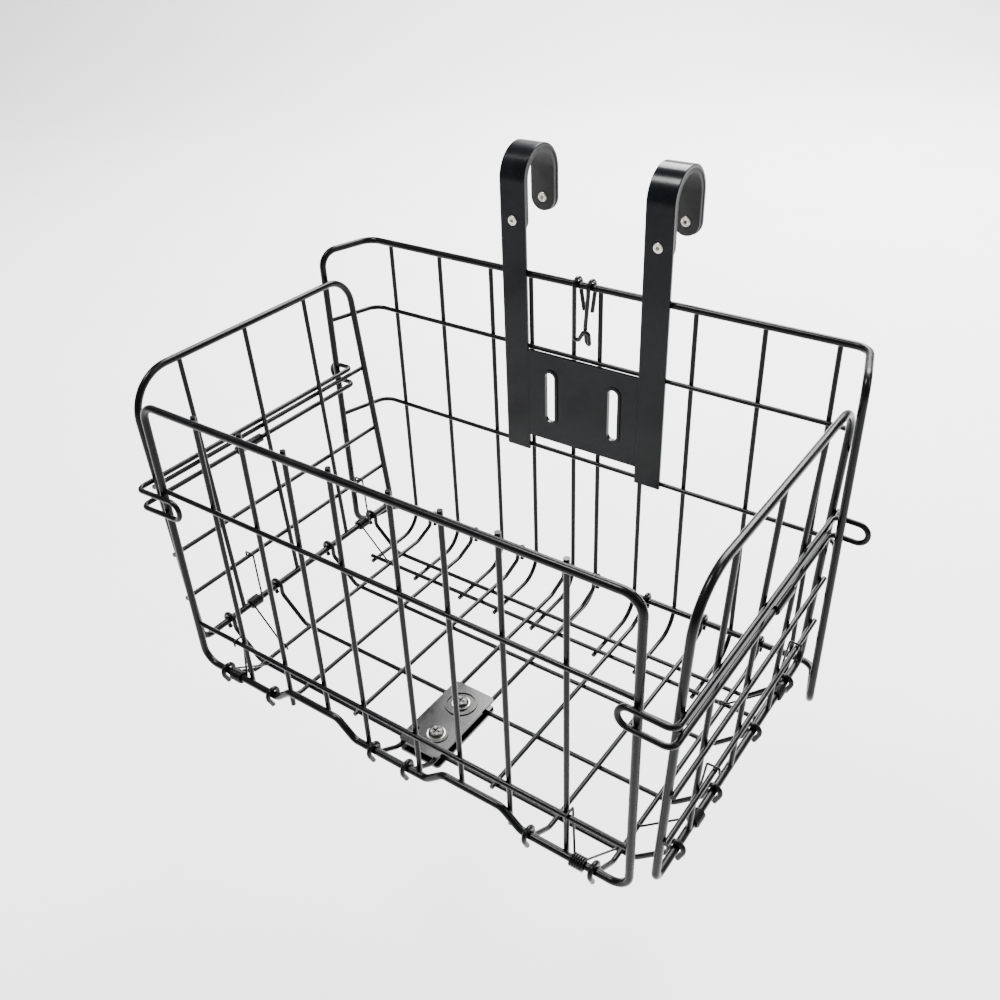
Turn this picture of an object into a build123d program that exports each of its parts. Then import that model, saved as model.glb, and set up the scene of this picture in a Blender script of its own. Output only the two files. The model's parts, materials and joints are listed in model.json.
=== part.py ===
from build123d import *
import os
from math import acos, atan2, cos, hypot, pi, sin

# Folding wire basket for a bicycle handlebar, in millimetres.
# While it is drawn, x = 0 is the middle of the width, y = 0 is the plane of the back rail with the
# front at -y, and z = 0 is the layer where the two sets of floor wires meet. Each piece is moved
# when it is saved, so that the origin lies on the axis of the handlebar, midway between the hooks.

# wire
FRAME_D = 5.0  # rim wire of every panel
MESH_D = 3.4  # welded grid wires
LATCH_D = 3.6  # corner catch wires
CLIP_D = 3.0  # fold clip
SPRING_D = 1.5
FRAME_R = FRAME_D / 2
MESH_R = MESH_D / 2
LATCH_R = LATCH_D / 2
SPRING_R = SPRING_D / 2
RUNNING_GAP = 0.3  # between a rail and the hooks that turn on it
EYE_R = FRAME_R + RUNNING_GAP + MESH_R  # centre line of a hook, from the rail's axis
EYE_BEND_R = EYE_R - 0.05
EYE_TAIL = (1.4, 8.5)  # end of a hook: outward and down from the rail's axis
WELD_SINK = 0.25  # how far two welded wires sink into each other

# back panel
BACK_TOP = 257.5
BACK_HALF = 192.0  # half width between the forward bends
FLANGE_HALF = 204.0  # half width at the front edge of the bent ends
FLANGE_DEPTH = 42.0
BACK_BEND_R = 12.0
BACK_UPRIGHT_X = [10.5, 46.0, 80.7, 127.4, 174.0]
BACK_CROSS_Z = [121.4, 203.2]
UPRIGHT_Y = 2.6
BACK_CROSS_Y = -0.75
HINGE_RAIL_Y = -1.5
HINGE_RAIL_Z = 13.2
TOE_Y = -57.0
TOE_Z = -5.8
TOE_R = 20.0
TOE_HALF = 177.0

# floor panel
FLOOR_LONG_X = [14.0, 59.0, 107.0, 152.0]  # wires that run front to back
FLOOR_CROSS_Y = [-42.6, -95.9, -155.0, -204.0]  # wires that run side to side
FLOOR_LONG_Z = MESH_R
FLOOR_CROSS_Z = -MESH_R
PLAIN_FRONT_ENDS = [59.0]  # long wires that stop short of the front rail
REAR_RISE_Y = -24.0
FRONT_RISE_Y = -216.0
SIDE_RISE_X = 160.0

# front panel
FRONT_Y = -238.5
FRONT_HALF = 174.5
FRONT_TOP = 228.0
FRONT_HINGE_Z = 19.0
FRONT_UPRIGHT_X = [21.4, 55.8, 91.6, 131.2]
FRONT_CROSS_Z = [52.6, 164.6]
FRONT_TOP_R = 11.0
FRONT_BOTTOM_R = 12.0
FRONT_TAIL = 4.5
JOG_HEIGHT = 12.0  # the bottom rail steps up over the floor wires that have no hook
JOG_INNER = 44.0
JOG_OUTER = 88.0
JOG_SLOPE = 14.0
JOG_BEND_R = 8.0

# side panels
SIDE_HINGE_X = 186.0
SIDE_HINGE_Z = 26.5
SIDE_TOP = 236.0
SIDE_TOP_HALF = 196.0
SIDE_LEAN = atan2(SIDE_TOP_HALF - SIDE_HINGE_X, SIDE_TOP - SIDE_HINGE_Z)
SIDE_FRONT_Y = -230.0
SIDE_REAR_BOTTOM_Y = -16.0
SIDE_REAR_TOP_Y = -27.0
SIDE_BENDS = [7.0, 10.0, 22.0, 30.0]
SIDE_UPRIGHT_Y = [-73.7, -131.7, -189.0]
SIDE_UPRIGHT_OUT = 0.5
SIDE_CROSS_X = SIDE_HINGE_X + SIDE_UPRIGHT_OUT + MESH_D - WELD_SINK
SIDE_CROSS_Z = [63.3, 101.3, 157.0]
SIDE_FRONT_TAIL = 1.9
SIDE_REAR_TAIL = 3.0

# corner catch wires on the side panels
LATCH_TOP_Z = 161.4
LATCH_LOW_Z = 148.2
LATCH_OUT = FRAME_R + 0.05 + LATCH_R  # outside the plane of the side panel
LATCH_FRONT_Y = FRONT_Y - FRAME_R - RUNNING_GAP - LATCH_R
LATCH_REAR_Y = -33.0
LEFT_LATCH_REACH = 40.0  # inward, across the face of the front panel
RIGHT_LATCH_REACH = 31.0
LATCH_REAR_REACH = 22.0  # outward, behind the bent end of the back panel
LATCH_BEND_R = 5.5
SLEEVE_R = 3.3
SLEEVE_LENGTH = 23.0
LEFT_SLEEVE_Y = -147.0
RIGHT_SLEEVE_Y = -109.0

# handlebar hooks
BAR_R = 15.9
LINER_T = 3.0
LINER_WIDTH = 19.0
STRAP_X = 55.0
STRAP_WIDTH = 20.0
STRAP_T = 2.5
STRAP_EDGE_R = 0.5
STRAP_BACK_Y = -FRAME_R
STRAP_BOTTOM = 119.0
HOOK_INNER_R = BAR_R + LINER_T
HOOK_OUTER_R = HOOK_INNER_R + STRAP_T
BACK_DROP = 20.0  # from the bar's axis down to the middle of the round tip of the free leg
FRONT_DROP = 26.0  # from the bar's axis down to the middle of the liner's front tip
BAR_Y = STRAP_BACK_Y + HOOK_INNER_R
BAR_Z = 321.0
RIVET_R = 2.0
RIVET_HEAD_R = 3.4
RIVET_HEAD_T = 0.9
RIVET_DOME_R = 7.0
RIVET_BORE_R = 1.3
RIVET_BORE_DEPTH = 2.0

# cross plate between the straps
PLATE_BOTTOM = 132.0
PLATE_TOP = 202.0
PLATE_T = 2.4
SLOT_X = 26.0
SLOT_Z = 168.0
SLOT_W = 7.8
SLOT_LENGTH = 40.0
SLOT_RIM = 2.2
SLOT_RIM_T = 0.8

# fold clip
CLIP_HALF = 6.2

# clamp on the floor
CLAMP_Y = -179.5
CLAMP_LENGTH = 66.0
CLAMP_WIDTH = 34.0
CLAMP_T = 2.0
CLAMP_TOP_Z = MESH_D
CLAMP_LOW_Z = -MESH_D - CLAMP_T
CLAMP_HOLE_R = 2.2
CLAMP_HOLE_AT = (-11.5, -199.0)
SCREW_AT = [(0.0, -163.5), (3.0, -195.5)]
SCREW_R = 3.0
SCREW_HEAD_R = 5.4
SCREW_HEAD_T = 2.6
WASHER_T = 1.0
DISH_R = [11.5, 8.2]
DISH_RIM = 1.4
DISH_T = 0.8
NUT_FLATS = 10.0
NUT_T = 4.6

# springs on the hinge rails
SPRING_MEAN_R = FRAME_R + 0.5 + SPRING_R
SPRING_PITCH = 1.6
SPRING_TURNS = 5
SPRING_BEND_R = 1.0
SPRING_HOOK = MESH_R + SPRING_R + 0.45  # centre line of a leg's hook, from the axis of its wire
FRONT_SPRING_X = -136.9
SIDE_SPRING_Y = [-50.0, -174.0]

AXIS_OF_BAR = Location((0, -BAR_Y, -BAR_Z))


def sweep_round(path, diameter):
    """A round wire along a path."""
    section = Plane(path @ 0, z_dir=path % 0) * Circle(diameter / 2)
    return sweep(section, path=path)


def rod(points, diameter, radius=None, closed=False):
    """A round wire along straight runs, with its corners bent to one radius or to a list of radii."""
    if radius is None:
        return sweep_round(Polyline(*points), diameter)
    return sweep_round(FilletPolyline(*points, radius=radius, close=closed), diameter)


def both_signs(values):
    """Each value on both sides of the middle, from left to right."""
    return [-v for v in reversed(values)] + list(values)


def lean(point):
    """Turns a point drawn on the upright right side panel about its hinge rail, into its lean."""
    x, y, z = point
    out, up = x - SIDE_HINGE_X, z - SIDE_HINGE_Z
    return (
        SIDE_HINGE_X + out * cos(SIDE_LEAN) + up * sin(SIDE_LEAN),
        y,
        SIDE_HINGE_Z - out * sin(SIDE_LEAN) + up * cos(SIDE_LEAN),
    )


def side_rod(points, diameter, radius=None, closed=False):
    """A wire of the right side panel, drawn upright and then leant out with the panel."""
    return rod([lean(p) for p in points], diameter, radius, closed)


# ---------------------------------------------------------------- back panel


def back_frame():
    """Rim: the top rail, the bent ends and, below, the rail on which the floor panel is hooked."""
    right = [
        (BACK_HALF, 0, BACK_TOP),
        (FLANGE_HALF, -FLANGE_DEPTH, BACK_TOP),
        (FLANGE_HALF, -FLANGE_DEPTH, HINGE_RAIL_Z),
        (BACK_HALF, HINGE_RAIL_Y, HINGE_RAIL_Z),
    ]
    left = [(-x, y, z) for x, y, z in reversed(right)]
    return rod(right + left, FRAME_D, BACK_BEND_R, closed=True)


def back_uprights():
    """Grid wires that run down the back and curl forward under the floor panel."""
    return [
        rod(
            [
                (x, UPRIGHT_Y, BACK_TOP + 0.5),
                (x, UPRIGHT_Y, TOE_Z),
                (x, TOE_Y - 3, TOE_Z),
            ],
            MESH_D,
            [TOE_R],
        )
        for x in both_signs(BACK_UPRIGHT_X)
    ]


def back_cross_wires():
    """Grid wires across the back, with their ends bent forward to the edges of the rim."""
    wires = []
    for z in BACK_CROSS_Z:
        right = [(BACK_HALF, BACK_CROSS_Y, z), (FLANGE_HALF, -FLANGE_DEPTH, z)]
        left = [(-x, y, z) for x, y, z in reversed(right)]
        wires.append(rod(left + right, MESH_D, [BACK_BEND_R] * 2))
    return wires


def back_toe_wire():
    """The wire under the floor panel that ties the curled ends of the uprights."""
    z = TOE_Z + MESH_D - WELD_SINK
    return rod([(-TOE_HALF, TOE_Y, z), (TOE_HALF, TOE_Y, z)], MESH_D)


# ------------------------------------------------------------ handlebar hooks


def hook_profile(inner_r, thickness, front_drop, back_drop):
    """An upside-down U round the handlebar, seen from the side, with legs of two lengths."""
    outer_r = inner_r + thickness
    middle = inner_r + thickness / 2
    half_ring = (Circle(outer_r) - Circle(inner_r)) & Pos(0, outer_r) * Rectangle(
        2 * outer_r, 2 * outer_r
    )
    front_leg = Pos(-middle, -front_drop / 2) * Rectangle(thickness, front_drop)
    back_leg = Pos(middle, -back_drop / 2) * Rectangle(thickness, back_drop)
    side_view = Plane((0, BAR_Y, BAR_Z), x_dir=(0, 1, 0), z_dir=(1, 0, 0))
    return side_view * (half_ring + front_leg + back_leg)


def rivet_holes(x):
    """The two holes, one in each leg, for the rivets that hold a liner in its strap."""
    front = Plane((x, BAR_Y - HOOK_OUTER_R - 1, BAR_Z - FRONT_DROP), z_dir=(0, 1, 0))
    back = Plane((x, BAR_Y + HOOK_OUTER_R + 1, BAR_Z - BACK_DROP), z_dir=(0, -1, 0))
    depth = STRAP_T + LINER_T + 2
    return extrude(front * Circle(RIVET_R), depth) + extrude(back * Circle(RIVET_R), depth)


def round_tip(x, y, z, width, thickness):
    """The round end of a leg, seen from the front, that starts at y and goes back."""
    return extrude(Plane((x, y, z), z_dir=(0, 1, 0)) * Circle(width / 2), thickness)


def strap(x):
    """A flat strap with its hook, rounded at the free tip and eased along its edges."""
    profile = hook_profile(HOOK_INNER_R, STRAP_T, BAR_Z - STRAP_BOTTOM, BACK_DROP)
    body = Pos(x - STRAP_WIDTH / 2, 0, 0) * extrude(profile, STRAP_WIDTH)
    body += round_tip(x, BAR_Y + HOOK_INNER_R, BAR_Z - BACK_DROP, STRAP_WIDTH, STRAP_T)
    side_edges = [edge for side in body.faces().filter_by(Axis.X) for edge in side.edges()]
    long_edges = [edge for edge in side_edges if edge.center().Z > STRAP_BOTTOM + 1]
    return fillet(long_edges, STRAP_EDGE_R) - rivet_holes(x)


def hook_liner(x):
    """The rubber strip inside a hook, which sits on the handlebar and is round at both ends."""
    profile = hook_profile(BAR_R, LINER_T, FRONT_DROP, BACK_DROP)
    body = Pos(x - LINER_WIDTH / 2, 0, 0) * extrude(profile, LINER_WIDTH)
    body += round_tip(x, BAR_Y + BAR_R, BAR_Z - BACK_DROP, LINER_WIDTH, LINER_T)
    body += round_tip(x, BAR_Y - HOOK_INNER_R, BAR_Z - FRONT_DROP, LINER_WIDTH, LINER_T)
    return body - rivet_holes(x)


def liner_rivets():
    """A rivet through each leg of each hook, with its hollow rolled end to the front."""
    length = STRAP_T + LINER_T
    rivet = Pos(0, 0, -length / 2) * Cylinder(RIVET_R, length)
    rolled = extrude(Circle(RIVET_HEAD_R), RIVET_HEAD_T)
    rivet += fillet(rolled.edges().group_by(Axis.Z)[-1], 0.7 * RIVET_HEAD_T)
    rivet -= Pos(0, 0, RIVET_HEAD_T) * Cylinder(RIVET_BORE_R, 2 * RIVET_BORE_DEPTH)
    below = Pos(0, 0, -RIVET_DOME_R) * Box(*[2 * RIVET_DOME_R] * 3)
    dome = Pos(0, 0, RIVET_DOME_R - RIVET_HEAD_T) * Sphere(RIVET_DOME_R) & below
    rivet += Pos(0, 0, -length) * dome
    places = [
        (x, y, BAR_Z - drop)
        for x in (-STRAP_X, STRAP_X)
        for y, drop in ((BAR_Y - HOOK_OUTER_R, FRONT_DROP), (BAR_Y + BAR_R, BACK_DROP))
    ]
    return [Plane(place, z_dir=(0, -1, 0)) * rivet for place in places]


def strap_plate():
    """The plate between the straps, with two upright slots inside raised rims."""
    back = Plane((0, STRAP_BACK_Y, (PLATE_TOP + PLATE_BOTTOM) / 2), x_dir=(1, 0, 0), z_dir=(0, -1, 0))
    body = extrude(back * Rectangle(2 * STRAP_X - STRAP_WIDTH, PLATE_TOP - PLATE_BOTTOM), PLATE_T)
    for x in (-SLOT_X, SLOT_X):
        at_slot = Plane((x, STRAP_BACK_Y, SLOT_Z), x_dir=(0, 0, 1), z_dir=(0, -1, 0))
        rim = SlotOverall(SLOT_LENGTH + 2 * SLOT_RIM, SLOT_W + 2 * SLOT_RIM)
        body += extrude(at_slot * rim, PLATE_T + SLOT_RIM_T)
        body -= extrude(at_slot * SlotOverall(SLOT_LENGTH, SLOT_W), PLATE_T + SLOT_RIM_T)
    return body


# ------------------------------------------------------------------ fold clip


def fold_clip():
    """One bent wire hung on the top rail by two hooks. It holds the folded panels to the back."""
    top = BACK_TOP + EYE_R
    front, back = -EYE_R, EYE_R
    left, right = -CLIP_HALF, CLIP_HALF
    points = [
        (left + 2, back + 1, BACK_TOP - 20),
        (left, back, BACK_TOP - 5),
        (left, back, top),
        (left, front, top),
        (left, front, BACK_TOP - 38),
        (left + 4, front - 0.5, BACK_TOP - 38),
        (right, front - 2.5, BACK_TOP - 24),
        (right, front, BACK_TOP - 40),
        (right - 4, front + 3, BACK_TOP - 40),
        (right - 3.5, front, BACK_TOP - 28),
        (right - 1.5, front, BACK_TOP - 5),
        (right - 1.5, front, top),
        (right - 1.5, back, top),
        (right - 1.5, back, BACK_TOP - 5),
        (right - 4, back + 1, BACK_TOP - 20),
    ]
    radii = [4, EYE_BEND_R, EYE_BEND_R, 1.9, 1.9, 2.5, 1.9, 1.7, 4, 4, EYE_BEND_R, EYE_BEND_R, 4]
    return rod(points, CLIP_D, radii)


# ---------------------------------------------------------------- floor panel


def rail_hook(sign):
    """A hook that turns over a rail, as (across, up) offsets from the rail's axis. It rises on the
    inner side, comes down on the outer side, which sign points to, and closes in under the rail."""
    return [
        (-sign * EYE_R, EYE_R),
        (sign * EYE_R, EYE_R),
        (sign * EYE_R, -1.5),
        (sign * EYE_TAIL[0], -EYE_TAIL[1]),
    ]


def floor_long_wires():
    """Floor wires from front to back, hooked over the back rail and, mostly, over the front rail."""
    wires = []
    for x in both_signs(FLOOR_LONG_X):
        rear = [
            (x, REAR_RISE_Y, FLOOR_LONG_Z),
            (x, HINGE_RAIL_Y - EYE_R, HINGE_RAIL_Z - 5),
        ]
        rear += [(x, HINGE_RAIL_Y + dy, HINGE_RAIL_Z + dz) for dy, dz in rail_hook(1)]
        rear_radii = [12, 4, EYE_BEND_R, EYE_BEND_R, 6]
        if abs(x) in PLAIN_FRONT_ENDS:
            front, front_radii = [(x, FLOOR_CROSS_Y[-1] - 6, FLOOR_LONG_Z)], []
        else:
            front = [(x, FRONT_Y + dy, FRONT_HINGE_Z + dz) for dy, dz in reversed(rail_hook(-1))]
            front += [
                (x, FRONT_Y + EYE_R, FRONT_HINGE_Z - 6),
                (x, FRONT_RISE_Y, FLOOR_LONG_Z),
            ]
            front_radii = [6, EYE_BEND_R, EYE_BEND_R, 4, 10]
        wires.append(rod(front + rear, MESH_D, front_radii + rear_radii))
    return wires


def floor_cross_wires():
    """Floor wires from side to side, with both ends hooked over the rails of the side panels."""
    wires = []
    for y in FLOOR_CROSS_Y:
        right = [(SIDE_RISE_X, y, FLOOR_CROSS_Z), (SIDE_HINGE_X - EYE_R, y, SIDE_HINGE_Z - 7)]
        right += [(SIDE_HINGE_X + dx, y, SIDE_HINGE_Z + dz) for dx, dz in rail_hook(1)]
        radii = [9, 5, EYE_BEND_R, EYE_BEND_R, 6]
        left = [(-px, py, pz) for px, py, pz in reversed(right)]
        wires.append(rod(left + right, MESH_D, list(reversed(radii)) + radii))
    return wires


def clamp_plate(lowest, with_dishes):
    """A plate of the floor clamp. The top one has a raised ring pressed round each screw."""
    blank = RectangleRounded(CLAMP_WIDTH, CLAMP_LENGTH, 3)
    body = Pos(0, CLAMP_Y, lowest) * extrude(blank, CLAMP_T)
    if with_dishes:
        for (x, y), r in zip(SCREW_AT, DISH_R):
            ring = extrude(Circle(r) - Circle(r - DISH_RIM), DISH_T)
            body += Pos(x, y, lowest + CLAMP_T) * ring
    for x, y in SCREW_AT:
        body -= Pos(x, y, lowest) * Cylinder(SCREW_R, 4 * CLAMP_T)
    x, y = CLAMP_HOLE_AT
    return body - Pos(x, y, lowest) * Cylinder(CLAMP_HOLE_R, 4 * CLAMP_T)


def clamp_screws():
    """Cross-recess pan-head screws through both plates."""
    seat = CLAMP_TOP_Z + CLAMP_T + WASHER_T
    length = seat - CLAMP_LOW_Z + NUT_T + 1.5
    head = extrude(Circle(SCREW_HEAD_R), SCREW_HEAD_T)
    head = fillet(head.edges().group_by(Axis.Z)[-1], 1.6)
    for turn in (0, 90):
        head -= Pos(0, 0, SCREW_HEAD_T) * Rot(0, 0, turn) * Box(5.6, 1.2, 2.4)
    screw = head + Pos(0, 0, -length / 2) * Cylinder(SCREW_R, length)
    return [Pos(x, y, seat) * screw for x, y in SCREW_AT]


def clamp_washers():
    """A flat washer under each screw head."""
    washer = extrude(Circle(SCREW_HEAD_R + 1.0) - Circle(SCREW_R), WASHER_T)
    return [Pos(x, y, CLAMP_TOP_Z + CLAMP_T) * washer for x, y in SCREW_AT]


def clamp_nuts():
    """A hexagon nut under the clamp on each screw."""
    outline = RegularPolygon(NUT_FLATS / 2, 6, major_radius=False) - Circle(SCREW_R)
    return [Pos(x, y, CLAMP_LOW_Z - NUT_T) * extrude(outline, NUT_T) for x, y in SCREW_AT]


# ---------------------------------------------------------------- front panel


def front_frame():
    """Rim of the front panel. Its bottom rail steps up where the floor wires carry no hook."""
    low, high = FRONT_HINGE_Z, FRONT_HINGE_Z + JOG_HEIGHT
    jog = [
        (JOG_INNER - JOG_SLOPE, low),
        (JOG_INNER, high),
        (JOG_OUTER, high),
        (JOG_OUTER + JOG_SLOPE, low),
    ]
    rail = [(-x, z) for x, z in reversed(jog)] + jog
    outline = [(-FRONT_HALF, low)] + rail + [(FRONT_HALF, low)]
    outline += [(FRONT_HALF, FRONT_TOP), (-FRONT_HALF, FRONT_TOP)]
    radii = [FRONT_BOTTOM_R] + [JOG_BEND_R] * 8 + [FRONT_BOTTOM_R, FRONT_TOP_R, FRONT_TOP_R]
    return rod([(x, FRONT_Y, z) for x, z in outline], FRAME_D, radii, closed=True)


def front_uprights():
    """Grid wires on the inner face of the front rim, with short tails below the bottom rail."""
    y = FRONT_Y + FRAME_R + MESH_R - WELD_SINK
    wires = []
    for x in both_signs(FRONT_UPRIGHT_X):
        on_step = JOG_INNER < abs(x) < JOG_OUTER
        low = FRONT_HINGE_Z + (JOG_HEIGHT if on_step else 0) - FRONT_TAIL
        wires.append(rod([(x, y, low), (x, y, FRONT_TOP + FRAME_R)], MESH_D))
    return wires


def front_cross_wires():
    """Grid wires across the front, between the rim's two uprights."""
    y = FRONT_Y + FRAME_R - MESH_R
    half = FRONT_HALF - FRAME_R + 1.0
    return [rod([(-half, y, z), (half, y, z)], MESH_D) for z in FRONT_CROSS_Z]


# ---------------------------------------------------------------- side panels


def side_frame():
    """Rim of the right side panel. Its bottom rail is the hinge."""
    x = SIDE_HINGE_X
    outline = [
        (x, SIDE_FRONT_Y, SIDE_HINGE_Z),
        (x, SIDE_REAR_BOTTOM_Y, SIDE_HINGE_Z),
        (x, SIDE_REAR_TOP_Y, SIDE_TOP),
        (x, SIDE_FRONT_Y, SIDE_TOP),
    ]
    return side_rod(outline, FRAME_D, SIDE_BENDS, closed=True)


def side_uprights():
    """Grid wires of the right side panel, from rail to rail."""
    x = SIDE_HINGE_X + SIDE_UPRIGHT_OUT
    low, high = SIDE_HINGE_Z + 0.5, SIDE_TOP - 0.5
    return [side_rod([(x, y, low), (x, y, high)], MESH_D) for y in SIDE_UPRIGHT_Y]


def side_cross_wires():
    """Grid wires along the right side panel, with tails beyond the rim's uprights."""
    wires = []
    for z in SIDE_CROSS_Z:
        share = (z - SIDE_HINGE_Z) / (SIDE_TOP - SIDE_HINGE_Z)
        rear = SIDE_REAR_BOTTOM_Y + (SIDE_REAR_TOP_Y - SIDE_REAR_BOTTOM_Y) * share
        front = SIDE_FRONT_Y - SIDE_FRONT_TAIL
        ends = [(SIDE_CROSS_X, front, z), (SIDE_CROSS_X, rear + SIDE_REAR_TAIL, z)]
        wires.append(side_rod(ends, MESH_D))
    return wires


def latch_wire(front_reach):
    """The closed loop of spring wire outside the right side panel. Its front end laps over the
    front panel and its rear end passes behind the bent end of the back panel."""
    x = SIDE_HINGE_X + LATCH_OUT
    top, low = LATCH_TOP_Z, LATCH_LOW_Z
    inner = x - front_reach
    outer = x + LATCH_REAR_REACH
    loop = [
        (x, LATCH_FRONT_Y, top),
        (x, LATCH_REAR_Y, top),
        (outer, LATCH_REAR_Y, top),
        (outer, LATCH_REAR_Y, low),
        (x, LATCH_REAR_Y, low),
        (x, LATCH_FRONT_Y, low),
        (inner, LATCH_FRONT_Y, low),
        (inner, LATCH_FRONT_Y, top),
    ]
    tip = (top - low) / 2 - 0.1
    radii = [LATCH_BEND_R, LATCH_BEND_R, tip, tip, LATCH_BEND_R, LATCH_BEND_R, tip, tip]
    return side_rod(loop, LATCH_D, radii, closed=True)


def latch_sleeve(middle_y):
    """The crimped sleeve that joins the two ends of a catch wire, on its lower leg."""
    start = lean((SIDE_HINGE_X + LATCH_OUT, middle_y + SLEEVE_LENGTH / 2, LATCH_LOW_Z))
    base = Plane(start, z_dir=(0, -1, 0))
    return extrude(base * (Circle(SLEEVE_R) - Circle(LATCH_R)), SLEEVE_LENGTH)


# -------------------------------------------------------------------- springs


def torsion_spring(rail, panel_wire, floor_wire):
    """A spring wound round a rail. Its first leg comes down the panel from a hook over a panel wire
    and its last leg goes out over the floor to a hook over a floor wire. The three places are
    (inward, up) pairs, and the coil advances along -Z."""
    inner = panel_wire[0] + FRAME_R + MESH_R + SPRING_R
    top = panel_wire[1] + SPRING_HOOK
    panel_hook = [(inner, top), (panel_wire[0] - SPRING_HOOK, top)]
    panel_hook.append((panel_hook[1][0], top - 4))
    low = floor_wire[1] + SPRING_HOOK
    floor_hook = [(floor_wire[0] - SPRING_HOOK, low), (floor_wire[0] + SPRING_HOOK, low)]
    floor_hook.append((floor_hook[1][0], low - 4))

    def reach(point):
        across, up = point[0] - rail[0], point[1] - rail[1]
        return atan2(up, across), hypot(across, up)

    bearing, distance = reach(panel_hook[0])
    start = bearing - acos(SPRING_MEAN_R / distance)
    bearing, floor_distance = reach(floor_hook[0])
    end = bearing + acos(SPRING_MEAN_R / floor_distance)
    turns = SPRING_TURNS + (start - end) % (2 * pi) / (2 * pi)
    spine = Plane((*rail, 0), x_dir=(cos(start), sin(start), 0), z_dir=(0, 0, -1))
    helix = spine * Helix(SPRING_PITCH, SPRING_PITCH * turns, SPRING_MEAN_R)

    def leg(point, direction, length, hook):
        """From the coil straight to the first point of a hook, then through the rest of it."""
        corner = point + direction * length
        rest = [corner + Vector(u - hook[0][0], v - hook[0][1], 0) for u, v in hook[1:]]
        return FilletPolyline(point, corner, *rest, radius=SPRING_BEND_R)

    panel_leg = leg(helix @ 0, helix % 0 * -1, distance, panel_hook)
    floor_leg = leg(helix @ 1, helix % 1, floor_distance, floor_hook)
    path = Wire(panel_leg.edges() + helix.edges() + floor_leg.edges())
    return sweep_round(path, SPRING_D)


def front_springs():
    """Springs on the front rail, hooked to the panel's lower cross wire and the floor's."""
    spring = torsion_spring(
        (FRONT_Y, FRONT_HINGE_Z),
        (FRONT_Y + FRAME_R - MESH_R, FRONT_CROSS_Z[0]),
        (FLOOR_CROSS_Y[-1], FLOOR_CROSS_Z),
    )
    left = Plane((FRONT_SPRING_X, 0, 0), x_dir=(0, 1, 0), z_dir=(1, 0, 0)) * spring
    return [left, mirror(left, about=Plane.YZ)]


def side_springs():
    """Springs on the right side rail, hooked to the panel's lower cross wire and the floor's."""
    wire_x, _, wire_z = lean((SIDE_CROSS_X, 0, SIDE_CROSS_Z[0]))
    spring = torsion_spring(
        (-SIDE_HINGE_X, SIDE_HINGE_Z), (-wire_x, wire_z), (-FLOOR_LONG_X[-1], FLOOR_LONG_Z)
    )
    return [Plane((0, y, 0), x_dir=(-1, 0, 0), z_dir=(0, 1, 0)) * spring for y in SIDE_SPRING_Y]


# -------------------------------------------------------------------- saving


def save(name, shape):
    """Writes a piece, or a group of like pieces, with the origin on the handlebar's axis."""
    if isinstance(shape, list):
        shape = Compound(children=[s for piece in shape for s in piece.solids()])
    export_step(AXIS_OF_BAR * shape, f"parts/{name}.step")


def other_side(shape):
    """The left-hand twin of a piece, or of each piece in a list, of the right side."""
    if isinstance(shape, list):
        return [mirror(piece, about=Plane.YZ) for piece in shape]
    return mirror(shape, about=Plane.YZ)


os.makedirs("parts", exist_ok=True)

save("back_frame", back_frame())
save("back_uprights", back_uprights())
save("back_cross_wires", back_cross_wires())
save("back_toe_wire", back_toe_wire())

save("strap_left", strap(-STRAP_X))
save("strap_right", strap(STRAP_X))
save("strap_plate", strap_plate())
save("hook_liner_left", hook_liner(-STRAP_X))
save("hook_liner_right", hook_liner(STRAP_X))
save("liner_rivets", liner_rivets())
save("fold_clip", fold_clip())

save("floor_long_wires", floor_long_wires())
save("floor_cross_wires", floor_cross_wires())
save("clamp_top_plate", clamp_plate(CLAMP_TOP_Z, True))
save("clamp_bottom_plate", clamp_plate(CLAMP_LOW_Z, False))
save("clamp_screws", clamp_screws())
save("clamp_washers", clamp_washers())
save("clamp_nuts", clamp_nuts())

save("front_frame", front_frame())
save("front_uprights", front_uprights())
save("front_cross_wires", front_cross_wires())
save("front_springs", front_springs())

side_pieces = {
    "frame": side_frame(),
    "uprights": side_uprights(),
    "cross_wires": side_cross_wires(),
    "springs": side_springs(),
}
for piece, shape in side_pieces.items():
    save(f"right_{piece}", shape)
    save(f"left_{piece}", other_side(shape))
save("right_latch_wire", latch_wire(RIGHT_LATCH_REACH))
save("left_latch_wire", other_side(latch_wire(LEFT_LATCH_REACH)))
save("right_latch_sleeve", latch_sleeve(RIGHT_SLEEVE_Y))
save("left_latch_sleeve", other_side(latch_sleeve(LEFT_SLEEVE_Y)))
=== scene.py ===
import json
import math

import bmesh
import bpy
from mathutils import Matrix, Vector

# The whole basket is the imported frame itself. This script gives each of its pieces a finish, and
# adds the studio. Lengths are in metres and angles in radians.

# colours of the coats, as linear light
COAT_BLACK = (0.0015, 0.0015, 0.002)
STRAP_BLACK = (0.0015, 0.002, 0.003)
SCUFF_GREY = (0.03, 0.03, 0.032)
RUBBER_BLACK = (0.012, 0.012, 0.013)
RUBBER_BLOOM = (0.035, 0.034, 0.034)
RIVET_BRIGHT = (0.78, 0.76, 0.7)
RIVET_STAIN = (0.4, 0.38, 0.34)
ZINC_DARK = (0.035, 0.035, 0.036)
ZINC_PALE = (0.09, 0.088, 0.085)
ZINC_WORN = (0.5, 0.49, 0.46)
FLOOR_TONES = [(0.9, 0.9, 0.9), (0.93, 0.93, 0.93)]

# camera
CAMERA_PLACE = Vector((0.33266, -0.57428, 0.1952))
CAMERA_YAW = 0.636
CAMERA_PITCH = 0.585
CAMERA_ROLL = -0.043
CAMERA_LENS = 36.49  # in millimetres

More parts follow.
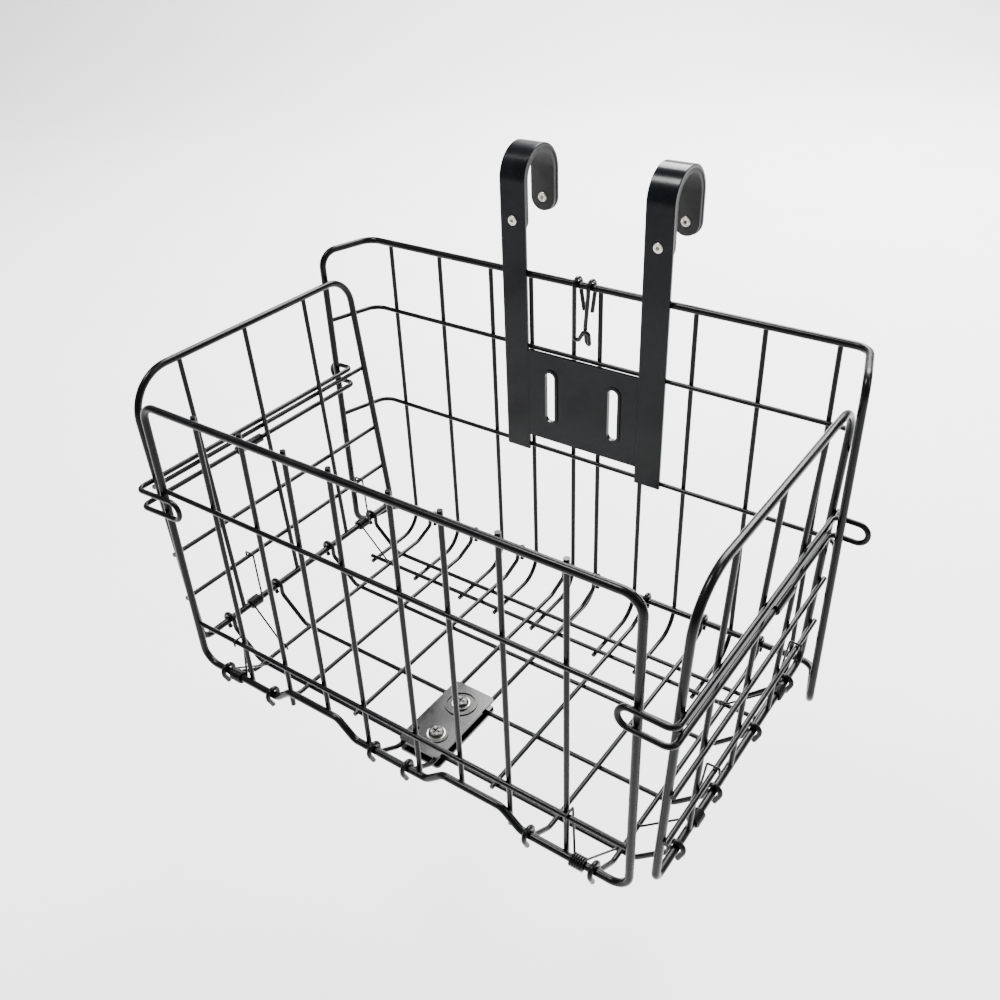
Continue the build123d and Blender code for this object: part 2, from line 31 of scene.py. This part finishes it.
# studio: the floor lies well under the hanging basket and curves up behind it
FLOOR_Z = -0.62
FLOOR_HALF_WIDTH = 9.0
FLOOR_FRONT = -6.0
FLOOR_BACK = 3.0
BACKDROP_BEND = 2.0
BACKDROP_TOP = 8.0
BACKDROP_STEPS = 12
BASKET_MIDDLE = (0.0, -0.13, -0.15)
FLOOR_MIDDLE = (0.0, 1.0, -0.6)
SKY_COLOUR = (1.0, 1.0, 1.0, 1.0)
SKY_STRENGTH = 0.45
LIGHTS = [  # name, place, point aimed at, size, watts
    ("key", (-0.9, -0.9, 2.2), BASKET_MIDDLE, (0.6, 0.6), 70.0),
    ("side", (1.9, 0.4, 1.3), BASKET_MIDDLE, (0.4, 1.2), 16.0),
    ("top", (0.1, 0.9, 2.1), BASKET_MIDDLE, (1.4, 0.5), 34.0),
    ("floor_light", (-0.4, 2.6, 2.4), FLOOR_MIDDLE, (3.0, 2.0), 620.0),
]

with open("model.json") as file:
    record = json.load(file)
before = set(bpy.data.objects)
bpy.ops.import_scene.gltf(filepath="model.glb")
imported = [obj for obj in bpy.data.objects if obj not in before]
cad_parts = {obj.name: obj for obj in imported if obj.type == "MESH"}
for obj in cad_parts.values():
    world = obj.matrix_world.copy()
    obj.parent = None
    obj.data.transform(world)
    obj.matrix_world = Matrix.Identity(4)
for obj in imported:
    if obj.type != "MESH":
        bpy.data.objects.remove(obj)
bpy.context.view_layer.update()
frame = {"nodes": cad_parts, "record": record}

# ------------------------------------------------------------------ materials


class Shader:
    """Small helper that builds one node material and keeps its parts in reach."""

    def __init__(self, name):
        self.material = bpy.data.materials.new(name)
        self.material.use_nodes = True
        self.tree = self.material.node_tree
        self.surface = self.tree.nodes["Principled BSDF"]

    def node(self, kind, **settings):
        """A node of a kind, with its sockets and properties set by name."""
        made = self.tree.nodes.new(kind)
        for key, value in settings.items():
            socket = key.replace("_", " ")
            if socket in made.inputs:
                made.inputs[socket].default_value = value
            else:
                setattr(made, key, value)
        return made

    def link(self, start, end):
        self.tree.links.new(start, end)

    def place(self):
        """The point on the surface, in metres in the object's own frame."""
        return self.node("ShaderNodeTexCoord").outputs["Object"]

    def noise(self, scale, detail=3.0, roughness=0.55):
        made = self.node("ShaderNodeTexNoise", Scale=scale, Detail=detail, Roughness=roughness)
        self.link(self.place(), made.inputs["Vector"])
        return made.outputs["Fac"]

    def spread(self, value, low, high, to_low, to_high):
        """Maps a value between two limits on to two others, and holds it there."""
        made = self.node("ShaderNodeMapRange")
        made.inputs["From Min"].default_value = low
        made.inputs["From Max"].default_value = high
        made.inputs["To Min"].default_value = to_low
        made.inputs["To Max"].default_value = to_high
        self.link(value, made.inputs["Value"])
        return made.outputs["Result"]

    def blend(self, factor, first, second):
        """A colour between two colours or sockets."""
        made = self.node("ShaderNodeMix", data_type="RGBA")
        self.link(factor, made.inputs[0])
        for socket, value in ((made.inputs[6], first), (made.inputs[7], second)):
            if isinstance(value, tuple):
                socket.default_value = (*value, 1.0)
            else:
                self.link(value, socket)
        return made.outputs[2]

    def add(self, first, second, operation="ADD"):
        made = self.node("ShaderNodeMath", operation=operation)
        for socket, value in zip(made.inputs, (first, second)):
            if isinstance(value, float):
                socket.default_value = value
            else:
                self.link(value, socket)
        return made.outputs[0]

    def bump(self, height, distance, strength=1.0):
        made = self.node("ShaderNodeBump", Strength=strength, Distance=distance)
        self.link(height, made.inputs["Height"])
        self.link(made.outputs["Normal"], self.surface.inputs["Normal"])

    def edges(self, low, high):
        """Worn edges: near 1 where the surface is sharply convex, 0 where it is flat."""
        curve = self.node("ShaderNodeNewGeometry").outputs["Pointiness"]
        return self.spread(curve, low, high, 0.0, 1.0)


def powder_coat(name, colour, roughness, gloss, grain=1600.0, depth=0.00006):
    """Black paint over steel: fine orange peel, dust in patches and small scuffs."""
    s = Shader(name)
    dust = s.spread(s.noise(34.0, 4.0), 0.45, 0.72, 0.0, 1.0)
    scuff = s.spread(s.noise(420.0, 5.0, 0.7), 0.62, 0.74, 0.0, 1.0)
    dusty = tuple(c * 1.5 + 0.002 for c in colour)
    tone = s.blend(dust, colour, dusty)
    scuffed = s.add(scuff, 0.3, "MULTIPLY")
    s.link(s.blend(scuffed, tone, SCUFF_GREY), s.surface.inputs["Base Color"])
    rough = s.add(s.spread(dust, 0.0, 1.0, roughness, roughness + 0.1), s.add(scuff, 0.1, "MULTIPLY"))
    s.link(rough, s.surface.inputs["Roughness"])
    s.surface.inputs["Specular IOR Level"].default_value = gloss
    s.bump(s.add(s.noise(grain, 2.0), s.add(s.noise(240.0, 2.0), 0.6, "MULTIPLY")), depth, 0.55)
    return s.material


def rubber(name):
    """Matt black rubber with a fine moulded grain and a little bloom."""
    s = Shader(name)
    bloom = s.spread(s.noise(60.0, 4.0), 0.42, 0.75, 0.0, 1.0)
    s.link(s.blend(bloom, RUBBER_BLACK, RUBBER_BLOOM), s.surface.inputs["Base Color"])
    s.link(s.spread(bloom, 0.0, 1.0, 0.62, 0.82), s.surface.inputs["Roughness"])
    s.bump(s.noise(2400.0, 3.0), 0.00008, 0.8)
    return s.material


def rivet_metal(name):
    """Plain steel with fine scratches, duller and darker in random stained patches."""
    s = Shader(name)
    stain = s.spread(s.noise(700.0, 4.0), 0.4, 0.7, 0.0, 1.0)
    tone = s.blend(stain, RIVET_BRIGHT, RIVET_STAIN)
    s.link(tone, s.surface.inputs["Base Color"])
    s.surface.inputs["Metallic"].default_value = 1.0
    s.link(s.spread(stain, 0.0, 1.0, 0.26, 0.5), s.surface.inputs["Roughness"])
    s.bump(s.noise(3000.0, 3.0), 0.00004, 0.6)
    return s.material


def dark_zinc(name):
    """Blackened screw steel, lighter on the edges where the coat has worn off."""
    s = Shader(name)
    wear = s.edges(0.52, 0.6)
    patch = s.spread(s.noise(500.0, 4.0), 0.4, 0.7, 0.0, 1.0)
    dark = s.blend(patch, ZINC_DARK, ZINC_PALE)
    s.link(s.blend(wear, dark, ZINC_WORN), s.surface.inputs["Base Color"])
    s.surface.inputs["Metallic"].default_value = 1.0
    s.link(s.spread(patch, 0.0, 1.0, 0.3, 0.48), s.surface.inputs["Roughness"])
    s.bump(s.noise(2600.0, 3.0), 0.00004, 0.6)
    return s.material


materials = {
    "coated_wire": powder_coat("wire_coat", COAT_BLACK, 0.22, 0.15),
    "coated_strap": powder_coat("strap_coat", STRAP_BLACK, 0.18, 0.16, 900.0, 0.00004),
    "clip_wire": powder_coat("clip_coat", COAT_BLACK, 0.2, 0.22),
    "spring_steel": powder_coat("spring_coat", COAT_BLACK, 0.22, 0.22),
    "clamp_black": powder_coat("clamp_coat", COAT_BLACK, 0.12, 0.3, 700.0, 0.00006),
    "liner_rubber": rubber("liner_rubber"),
    "rivet_steel": rivet_metal("rivet_metal"),
    "screw_steel": dark_zinc("screw_metal"),
}

slot_of = {part["node"]: part["material_slot"] for part in frame["record"]["subparts"]}
for node, obj in frame["nodes"].items():
    for index in range(max(1, len(obj.material_slots))):
        if not obj.material_slots:
            obj.data.materials.append(None)
        obj.material_slots[index].material = materials[slot_of[node]]

# ----------------------------------------------------------------- the studio


def studio_floor():
    """A wide pale floor well below the basket, with a backdrop that curves up behind."""
    mesh = bpy.data.meshes.new("studio_floor")
    bm = bmesh.new()
    profile = [(FLOOR_FRONT, FLOOR_Z), (FLOOR_BACK, FLOOR_Z)]
    for step in range(BACKDROP_STEPS + 1):
        angle = math.pi / 2 * step / BACKDROP_STEPS
        back = FLOOR_BACK + BACKDROP_BEND * math.sin(angle)
        profile.append((back, FLOOR_Z + BACKDROP_BEND * (1 - math.cos(angle))))
    profile.append((FLOOR_BACK + BACKDROP_BEND, FLOOR_Z + BACKDROP_TOP))
    sides = (-FLOOR_HALF_WIDTH, FLOOR_HALF_WIDTH)
    rows = [[bm.verts.new((x, y, z)) for y, z in profile] for x in sides]
    for index in range(len(profile) - 1):
        bm.faces.new((rows[0][index], rows[1][index], rows[1][index + 1], rows[0][index + 1]))
    bm.to_mesh(mesh)
    bm.free()
    for face in mesh.polygons:
        face.use_smooth = True
    floor = bpy.data.objects.new("studio_floor", mesh)
    bpy.context.scene.collection.objects.link(floor)
    floor.rotation_euler[2] = CAMERA_YAW
    s = Shader("studio_floor")
    s.surface.inputs["Roughness"].default_value = 0.9
    tone = s.spread(s.noise(3.0), 0.3, 0.7, 0.0, 1.0)
    s.link(s.blend(tone, *FLOOR_TONES), s.surface.inputs["Base Color"])
    mesh.materials.append(s.material)


def area_light(name, place, target, size, power):
    """A soft square light aimed at a point."""
    lamp = bpy.data.lights.new(name, "AREA")
    lamp.shape = "RECTANGLE"
    lamp.size, lamp.size_y = size
    lamp.energy = power
    obj = bpy.data.objects.new(name, lamp)
    bpy.context.scene.collection.objects.link(obj)
    obj.location = place
    direction = Vector(target) - Vector(place)
    obj.rotation_euler = direction.to_track_quat("-Z", "Y").to_euler()


def camera():
    """The camera, at the photograph's viewing angle."""
    lens = bpy.data.cameras.new("camera")
    lens.lens = CAMERA_LENS
    lens.clip_start = 0.01
    lens.clip_end = 50.0
    obj = bpy.data.objects.new("camera", lens)
    bpy.context.scene.collection.objects.link(obj)
    forward = Vector(
        (
            -math.sin(CAMERA_YAW) * math.cos(CAMERA_PITCH),
            math.cos(CAMERA_YAW) * math.cos(CAMERA_PITCH),
            -math.sin(CAMERA_PITCH),
        )
    )
    level = Vector((math.cos(CAMERA_YAW), math.sin(CAMERA_YAW), 0.0))
    above = level.cross(forward)
    right = level * math.cos(CAMERA_ROLL) + above * math.sin(CAMERA_ROLL)
    up = above * math.cos(CAMERA_ROLL) - level * math.sin(CAMERA_ROLL)
    turn = Matrix((right, up, -forward)).transposed().to_4x4()
    obj.matrix_world = Matrix.Translation(CAMERA_PLACE) @ turn
    bpy.context.scene.camera = obj


studio_floor()
camera()
for light in LIGHTS:
    area_light(*light)
world = bpy.data.worlds.new("studio")
world.use_nodes = True
world.node_tree.nodes["Background"].inputs[0].default_value = SKY_COLOUR
world.node_tree.nodes["Background"].inputs[1].default_value = SKY_STRENGTH
bpy.context.scene.world = world
